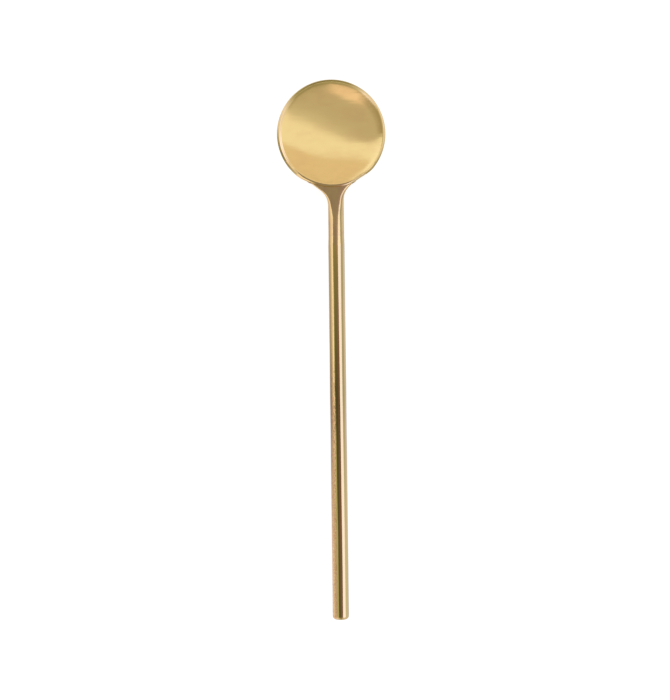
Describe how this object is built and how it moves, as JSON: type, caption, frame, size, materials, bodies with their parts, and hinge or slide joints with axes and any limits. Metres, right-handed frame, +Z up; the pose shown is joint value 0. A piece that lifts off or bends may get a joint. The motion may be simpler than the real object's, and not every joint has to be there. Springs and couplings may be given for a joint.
{
  "type": "bar spoon",
  "caption": "Small bar spoon: a round, shallow dish on a long, straight round rod handle, joined by a flared neck, for measuring, tasting and stirring.",
  "frame": {"origin": "bottom centre of the bounding box: under the middle of the length, on the surface that the spoon lies on", "axes": "+Y along the spoon towards the tip of the dish, +Z up out of the dish, +X to the right seen from above with the dish away from the viewer"},
  "size_m": [0.033, 0.165, 0.005],
  "materials": {
    "dish_brass": "polished",
    "neck_brass": "polished",
    "rod_brass": "polished",
    "filler": "polished"
  },
  "bodies": {
    "root": {"bowl": "dish_brass", "neck": "neck_brass", "bowl_braze": "filler", "handle_rod": "rod_brass", "rod_braze": "filler"}
  },
  "joints": []
}
